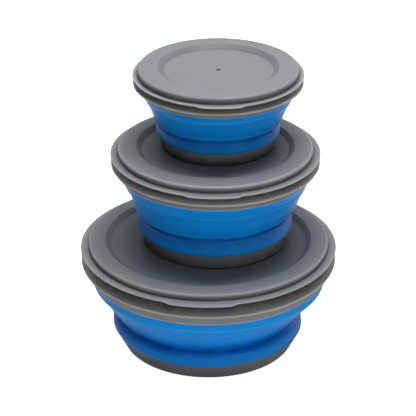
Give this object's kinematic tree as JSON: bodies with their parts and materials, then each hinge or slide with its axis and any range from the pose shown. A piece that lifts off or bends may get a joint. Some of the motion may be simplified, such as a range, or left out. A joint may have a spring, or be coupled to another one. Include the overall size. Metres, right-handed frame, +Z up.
{
  "type": "collapsible silicone bowl set",
  "caption": "Stack of round lidded food bowls with folding silicone walls between hard bases and rim rings; each presses flat, opens and lifts off.",
  "frame": {"origin": "centre of the underside of the largest bowl's base", "axes": "+Z up out of the bowls, -Y to the front where the lids have their pull tabs, +X to the right"},
  "size_m": [0.2, 0.2027, 0.2261],
  "materials": {
    "lid_plastic": "satin moulded polypropylene, mid grey",
    "rim_plastic": "satin moulded polypropylene, mid grey",
    "base_plastic": "satin moulded polypropylene, dark grey",
    "silicone": "satin silicone rubber, blue"
  },
  "bodies": {
    "large_base": {"large_base": "base_plastic", "large_lower_band": "silicone", "large_lower_fold": "silicone"},
    "large_middle": {"large_middle_band": "silicone"},
    "large_rim": {"large_upper_fold": "silicone", "large_upper_band": "silicone", "large_rim_ring": "rim_plastic"},
    "large_lid": {"large_lid": "lid_plastic"},
    "medium_base": {"medium_base": "base_plastic", "medium_lower_band": "silicone", "medium_lower_fold": "silicone"},
    "medium_middle": {"medium_middle_band": "silicone"},
    "medium_rim": {"medium_upper_fold": "silicone", "medium_upper_band": "silicone", "medium_rim_ring": "rim_plastic"},
    "medium_lid": {"medium_lid": "lid_plastic"},
    "small_base": {"small_base": "base_plastic", "small_lower_band": "silicone", "small_lower_fold": "silicone"},
    "small_middle": {"small_middle_band": "silicone"},
    "small_rim": {"small_upper_fold": "silicone", "small_upper_band": "silicone", "small_rim_ring": "rim_plastic"},
    "small_lid": {"small_lid": "lid_plastic"}
  },
  "joints": [
    {"name": "large_collapse", "type": "slide", "parent": "large_base", "child": "large_rim", "axis": [0, 0, -1], "range_m": [0, 0.048], "deforming": ["large_upper_fold"]},
    {"name": "large_fold", "type": "slide", "parent": "large_base", "child": "large_middle", "axis": [0, 0, -1], "range_m": [0, 0.024], "deforming": ["large_lower_fold"]},
    {"name": "large_lid_lift", "type": "slide", "parent": "large_rim", "child": "large_lid", "axis": [0, 0, 1], "range_m": [0, 0.06]},
    {"name": "medium_lift", "type": "slide", "parent": "large_lid", "child": "medium_base", "axis": [0, 0, 1], "range_m": [0, 0.06]},
    {"name": "medium_collapse", "type": "slide", "parent": "medium_base", "child": "medium_rim", "axis": [0, 0, -1], "range_m": [0, 0.044], "deforming": ["medium_upper_fold"]},
    {"name": "medium_fold", "type": "slide", "parent": "medium_base", "child": "medium_middle", "axis": [0, 0, -1], "range_m": [0, 0.022], "deforming": ["medium_lower_fold"]},
    {"name": "medium_lid_lift", "type": "slide", "parent": "medium_rim", "child": "medium_lid", "axis": [0, 0, 1], "range_m": [0, 0.06]},
    {"name": "small_lift", "type": "slide", "parent": "medium_lid", "child": "small_base", "axis": [0, 0, 1], "range_m": [0, 0.06]},
    {"name": "small_collapse", "type": "slide", "parent": "small_base", "child": "small_rim", "axis": [0, 0, -1], "range_m": [0, 0.032], "deforming": ["small_upper_fold"]},
    {"name": "small_fold", "type": "slide", "parent": "small_base", "child": "small_middle", "axis": [0, 0, -1], "range_m": [0, 0.0192], "deforming": ["small_lower_fold"]},
    {"name": "small_lid_lift", "type": "slide", "parent": "small_rim", "child": "small_lid", "axis": [0, 0, 1], "range_m": [0, 0.06]}
  ],
  "couplings": [
    {"joint": "large_fold", "follows": "large_collapse", "ratio": 0.5},
    {"joint": "medium_fold", "follows": "medium_collapse", "ratio": 0.5},
    {"joint": "small_fold", "follows": "small_collapse", "ratio": 0.6}
  ]
}
